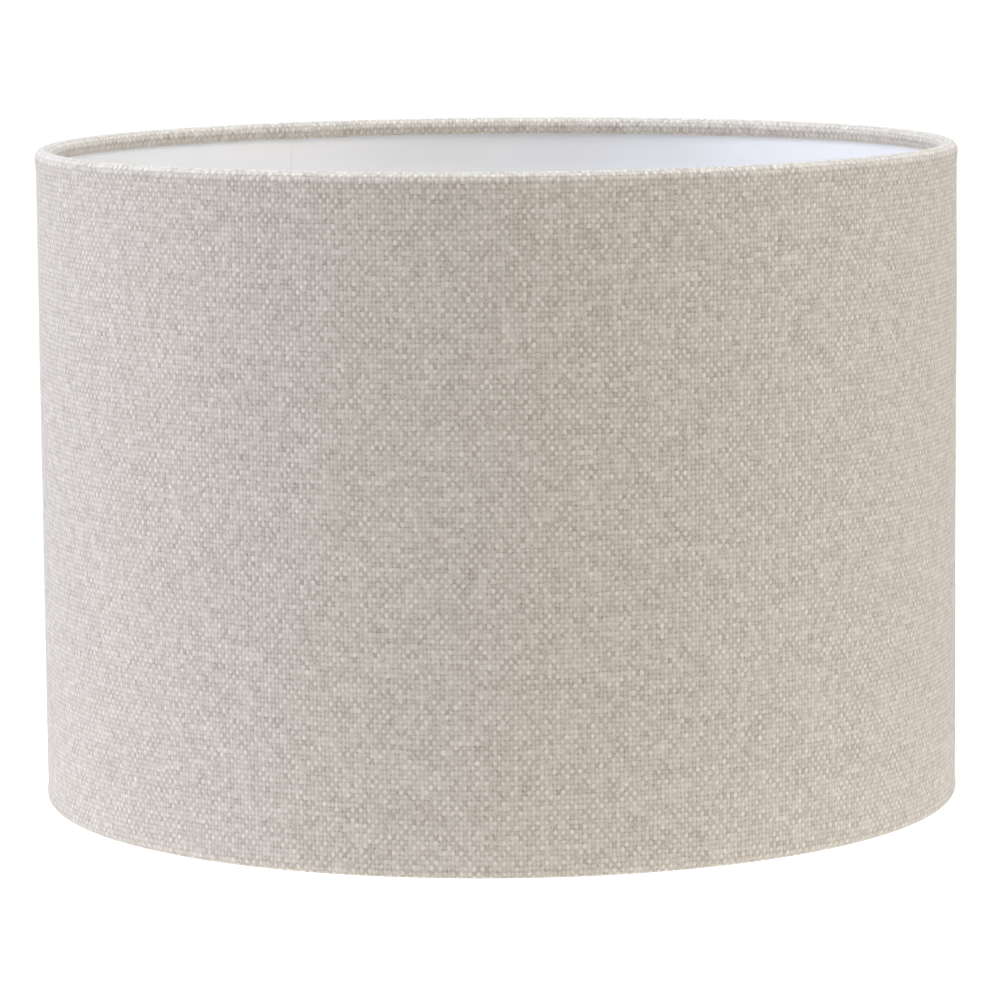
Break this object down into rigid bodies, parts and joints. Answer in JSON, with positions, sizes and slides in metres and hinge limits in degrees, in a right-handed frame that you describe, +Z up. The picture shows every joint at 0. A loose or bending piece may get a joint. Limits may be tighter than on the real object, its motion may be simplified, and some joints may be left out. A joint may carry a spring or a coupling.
{
  "type": "lamp shade",
  "caption": "Straight drum lamp shade of woven cloth on a white film, with rolled edges and a recessed spoked fitter ring for a lampholder.",
  "frame": {"origin": "centre of the circle on which the bottom edge stands", "axes": "+Z up along the drum's axis; the front faces -Y, and the lap seam is at the back left, between -X and +Y"},
  "size_m": [0.35, 0.35, 0.25],
  "materials": {
    "linen": "plain-woven natural linen-look cloth, matt, off-white threads with grey-brown gaps and sparse dark flecks",
    "liner_film": "smooth white film, satin",
    "adhesive_tape": "thin cream adhesive tape, satin",
    "coated_steel": "light grey powder coat, low gloss",
    "moulded_plastic": "injection-moulded white plastic, fine satin"
  },
  "bodies": {
    "shade": {"linen_cover": "linen", "film_liner": "liner_film", "seam_tape": "adhesive_tape", "top_ring": "coated_steel", "top_ring_tape": "adhesive_tape", "bottom_ring": "coated_steel", "bottom_ring_tape": "adhesive_tape", "spoke_1": "coated_steel", "spoke_2": "coated_steel", "spoke_3": "coated_steel", "fitter_ring": "coated_steel"},
    "reducer": {"reducer_ring": "moulded_plastic"}
  },
  "joints": [
    {"name": "reducer_lift", "type": "slide", "parent": "shade", "child": "reducer", "axis": [0, 0, 1], "range_m": [0, 0.03]}
  ]
}
